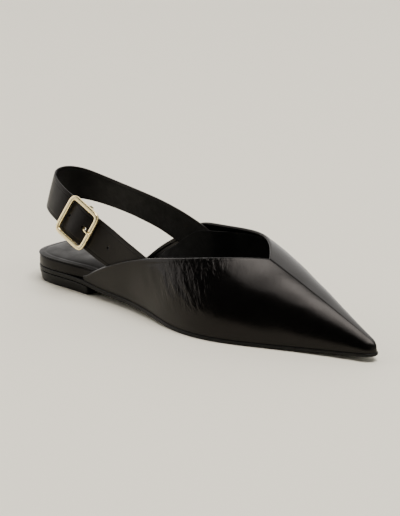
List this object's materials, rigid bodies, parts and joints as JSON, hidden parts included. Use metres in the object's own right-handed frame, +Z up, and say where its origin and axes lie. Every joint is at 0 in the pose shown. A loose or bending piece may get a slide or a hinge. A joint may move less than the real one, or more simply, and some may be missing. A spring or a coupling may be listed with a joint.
{
  "type": "flat slingback shoe",
  "caption": "Pointed flat shoe for the right foot: hollow leather vamp with a pressed ridge, open heel sides, low heel, and a sling strap fastened by a square buckle on the outer side.",
  "frame": {"origin": "middle of the shoe's length and width, on the floor", "axes": "+X to the toe, +Y to the inner side of the foot, +Z up"},
  "size_m": [0.2661, 0.071, 0.0723],
  "materials": {
    "black_leather": "polished",
    "strap_leather": "semi-matte",
    "black_sole": "matte",
    "insole_leather": "satin",
    "pale_gold": "polished, pale gold"
  },
  "bodies": {
    "root": {"outsole": "black_sole", "heel": "black_sole", "footbed": "black_leather", "insole": "insole_leather", "vamp": "black_leather", "strap_back": "strap_leather", "strap_front": "strap_leather", "buckle_frame": "pale_gold", "buckle_prong": "pale_gold"}
  },
  "joints": []
}
